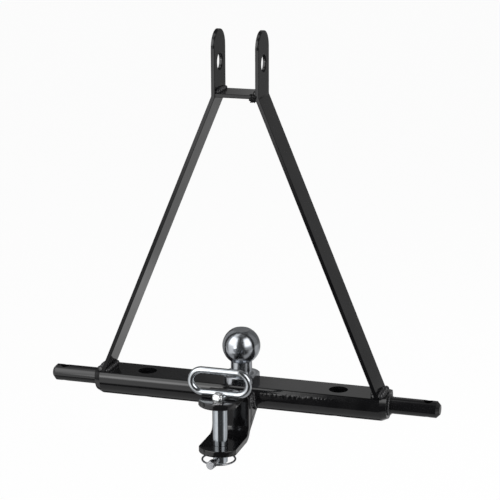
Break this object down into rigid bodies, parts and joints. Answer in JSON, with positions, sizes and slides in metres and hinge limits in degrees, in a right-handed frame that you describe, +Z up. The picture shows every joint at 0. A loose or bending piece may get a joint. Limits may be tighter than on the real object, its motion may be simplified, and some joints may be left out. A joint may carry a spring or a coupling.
{
  "type": "tractor drawbar",
  "caption": "A-frame drawbar for a tractor's three-point linkage: crossbar with end pins, strap mast with top-link ears, tow ball, and a clevis with a drop pin.",
  "frame": {"origin": "midway between the two lower linkage pins, on their common axis", "axes": "+X along the crossbar to the right as seen from the towed side, -Y towards the towed side where the clevis is, +Z up to the top-link ears"},
  "size_m": [0.534, 0.1478, 0.5455],
  "materials": {
    "frame_paint": "gloss",
    "pin_paint": "gloss",
    "weld_paint": "gloss",
    "ball_steel": "polished",
    "zinc_fastener": "satin",
    "plated_pin": "bright plated",
    "plated_wire": "bright plated",
    "zinc_lynch": "satin zinc",
    "ring_wire": "satin spring wire"
  },
  "bodies": {
    "frame": {"crossbar": "frame_paint", "lower_pin_left": "pin_paint", "lower_pin_right": "pin_paint", "pin_root_weld_left": "weld_paint", "pin_root_weld_right": "weld_paint", "left_strap": "frame_paint", "right_strap": "frame_paint", "foot_weld_outer_left": "weld_paint", "foot_weld_outer_right": "weld_paint", "foot_weld_inner_left": "weld_paint", "foot_weld_inner_right": "weld_paint", "spacer_plate": "frame_paint", "spacer_weld_left": "weld_paint", "spacer_weld_right": "weld_paint", "clevis": "frame_paint", "gusset_left": "frame_paint", "gusset_right": "frame_paint", "clevis_weld_left": "weld_paint", "clevis_weld_right": "weld_paint", "gusset_weld_left": "weld_paint", "gusset_weld_right": "weld_paint", "tow_ball": "ball_steel", "ball_lock_washer": "zinc_fastener", "ball_nut": "zinc_fastener"},
    "drop_pin": {"hitch_pin": "plated_pin", "pin_handle": "plated_wire", "handle_weld": "plated_wire"},
    "lynch_pin": {"lynch_pin": "zinc_lynch"},
    "lynch_ring": {"lynch_ring": "ring_wire"}
  },
  "joints": [
    {"name": "hitch_pin_turn", "type": "hinge", "parent": "frame", "child": "drop_pin", "pos_m": [0, -0.0915, 0], "axis": [0, 0, 1], "continuous": true},
    {"name": "lynch_pin_slide", "type": "slide", "parent": "drop_pin", "child": "lynch_pin", "axis": [-0.1392, -0.9903, 0], "range_m": [-0.0112, 0.0054]},
    {"name": "lynch_ring_swing", "type": "hinge", "parent": "lynch_pin", "child": "lynch_ring", "pos_m": [-0.00362, -0.11725, -0.061], "axis": [-0.9903, 0.1392, 0], "range_deg": [0, 150]}
  ]
}
